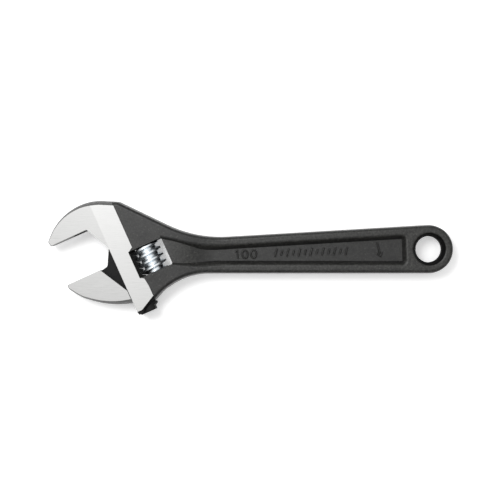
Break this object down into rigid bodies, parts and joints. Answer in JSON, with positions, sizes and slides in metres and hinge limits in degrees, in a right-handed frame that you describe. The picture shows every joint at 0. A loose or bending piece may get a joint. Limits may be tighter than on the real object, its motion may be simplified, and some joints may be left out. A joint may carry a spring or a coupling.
{
  "type": "adjustable wrench",
  "caption": "Small adjustable wrench with an offset head: a fixed jaw, a sliding jaw driven by a knurled worm, and a tapered handle with sunk panels and a hanging hole.",
  "frame": {"origin": "centre of the hanging hole, in the middle of the thickness", "axes": "+X along the handle's centreline, from the head towards the round end; +Y in the plane of the tool, towards the fixed jaw's side; +Z out of the front face, along the hole's axis"},
  "size_m": [0.1117, 0.0319, 0.0084],
  "materials": {
    "body_steel": "black phosphate on the forged skin, ground bright on the band and the fixed jaw",
    "jaw_steel": "ground bright faces, black phosphate on the web and the rounded back",
    "knurl_steel": "bright turned",
    "pin_steel": "black oxide",
    "spring_steel": "drawn wire"
  },
  "bodies": {
    "frame": {"wrench_body": "body_steel", "knurl_pin": "pin_steel", "knurl_spring": "spring_steel"},
    "knurl": {"knurl": "knurl_steel"},
    "jaw": {"movable_jaw": "jaw_steel"}
  },
  "joints": [
    {"name": "knurl_spin", "type": "hinge", "parent": "frame", "child": "knurl", "pos_m": [-0.07691, -0.00025, 0], "axis": [0.3827, -0.9239, 0], "range_deg": [-255.1, 2175.1]},
    {"name": "jaw_slide", "type": "slide", "parent": "frame", "child": "jaw", "axis": [0.3827, -0.9239, 0], "range_m": [-0.0116, 0.00136]}
  ],
  "couplings": [
    {"joint": "knurl_spin", "follows": "jaw_slide", "rad_per_m": -3272.5}
  ]
}
